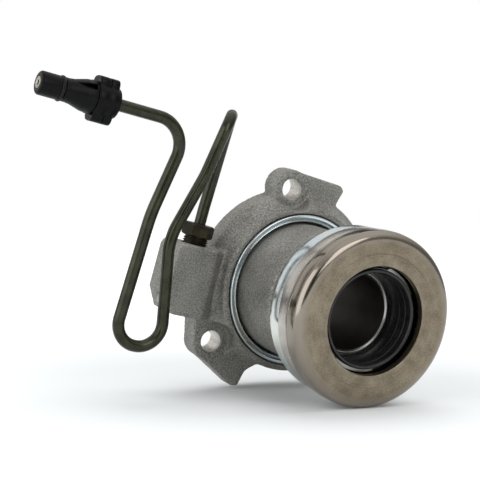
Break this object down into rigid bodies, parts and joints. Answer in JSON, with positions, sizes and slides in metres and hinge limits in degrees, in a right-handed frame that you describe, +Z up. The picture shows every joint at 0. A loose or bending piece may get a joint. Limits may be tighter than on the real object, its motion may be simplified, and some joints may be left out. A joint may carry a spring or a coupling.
{
  "type": "concentric slave cylinder",
  "caption": "Ring-shaped hydraulic clutch release unit with lugged housing, sliding piston, release bearing, bent metal pipe and push-in line connector.",
  "frame": {"origin": "centre of the bolt circle, on the shaft axis in the plane of the mounting face", "axes": "-Y along the shaft axis from the mounting face to the release bearing, +Z up along the pipe port, +X to the right seen from the bearing"},
  "size_m": [0.1865, 0.0862, 0.1122],
  "materials": {
    "cast_housing": "shot-blasted grey casting",
    "tube_steel": "bright turned steel tube",
    "zinc_plate": "bright zinc plating",
    "carrier_zinc": "zinc-plated pressed sheet",
    "bright_steel": "ground steel",
    "spring_steel": "drawn spring wire",
    "clip_steel": "dark spring steel",
    "race_steel": "hardened steel with a warm brown tint",
    "cover_steel": "brushed steel band",
    "nut_steel": "dark bronze passivated steel",
    "pipe_coating": "dark olive coating, satin",
    "connector_plastic": "matte black moulding",
    "piston_plastic": "satin black moulding",
    "insert_metal": "bright turned insert",
    "seal_rubber": "black rubber"
  },
  "bodies": {
    "housing_group": {"housing": "cast_housing", "guide_tube": "tube_steel", "guide_tube_seal": "seal_rubber", "spigot_seal": "seal_rubber", "stop_ring": "bright_steel", "wiper_ring": "seal_rubber", "collar_ring": "zinc_plate", "preload_spring": "spring_steel", "union_nut": "nut_steel", "hydraulic_pipe": "pipe_coating", "gallery_ball": "bright_steel", "connector_body": "connector_plastic", "connector_insert": "insert_metal", "connector_seal": "seal_rubber", "connector_collar": "connector_plastic"},
    "piston_group": {"spring_seat": "bright_steel", "lip_seal": "seal_rubber", "piston": "piston_plastic", "bearing_carrier": "carrier_zinc", "centring_spring": "spring_steel", "inner_race": "bright_steel", "bearing_clip": "clip_steel"},
    "cage_group": {"ball_cage": "piston_plastic", "bearing_balls": "bright_steel"},
    "bearing_group": {"outer_race": "race_steel", "bearing_cover": "cover_steel", "bearing_seal": "seal_rubber"}
  },
  "joints": [
    {"name": "bearing_slide", "type": "slide", "parent": "housing_group", "child": "piston_group", "axis": [0, -1, 0], "range_m": [-0.0155, 0], "stiffness_N_per_m": 1650, "springref_m": 0.02, "deforming": ["preload_spring"]},
    {"name": "bearing_spin", "type": "hinge", "parent": "piston_group", "child": "bearing_group", "pos_m": [0, -0.068, 0], "axis": [0, -1, 0], "continuous": true},
    {"name": "cage_spin", "type": "hinge", "parent": "piston_group", "child": "cage_group", "pos_m": [0, -0.068, 0], "axis": [0, -1, 0], "continuous": true}
  ],
  "couplings": [
    {"joint": "cage_spin", "follows": "bearing_spin", "ratio": 0.5}
  ]
}
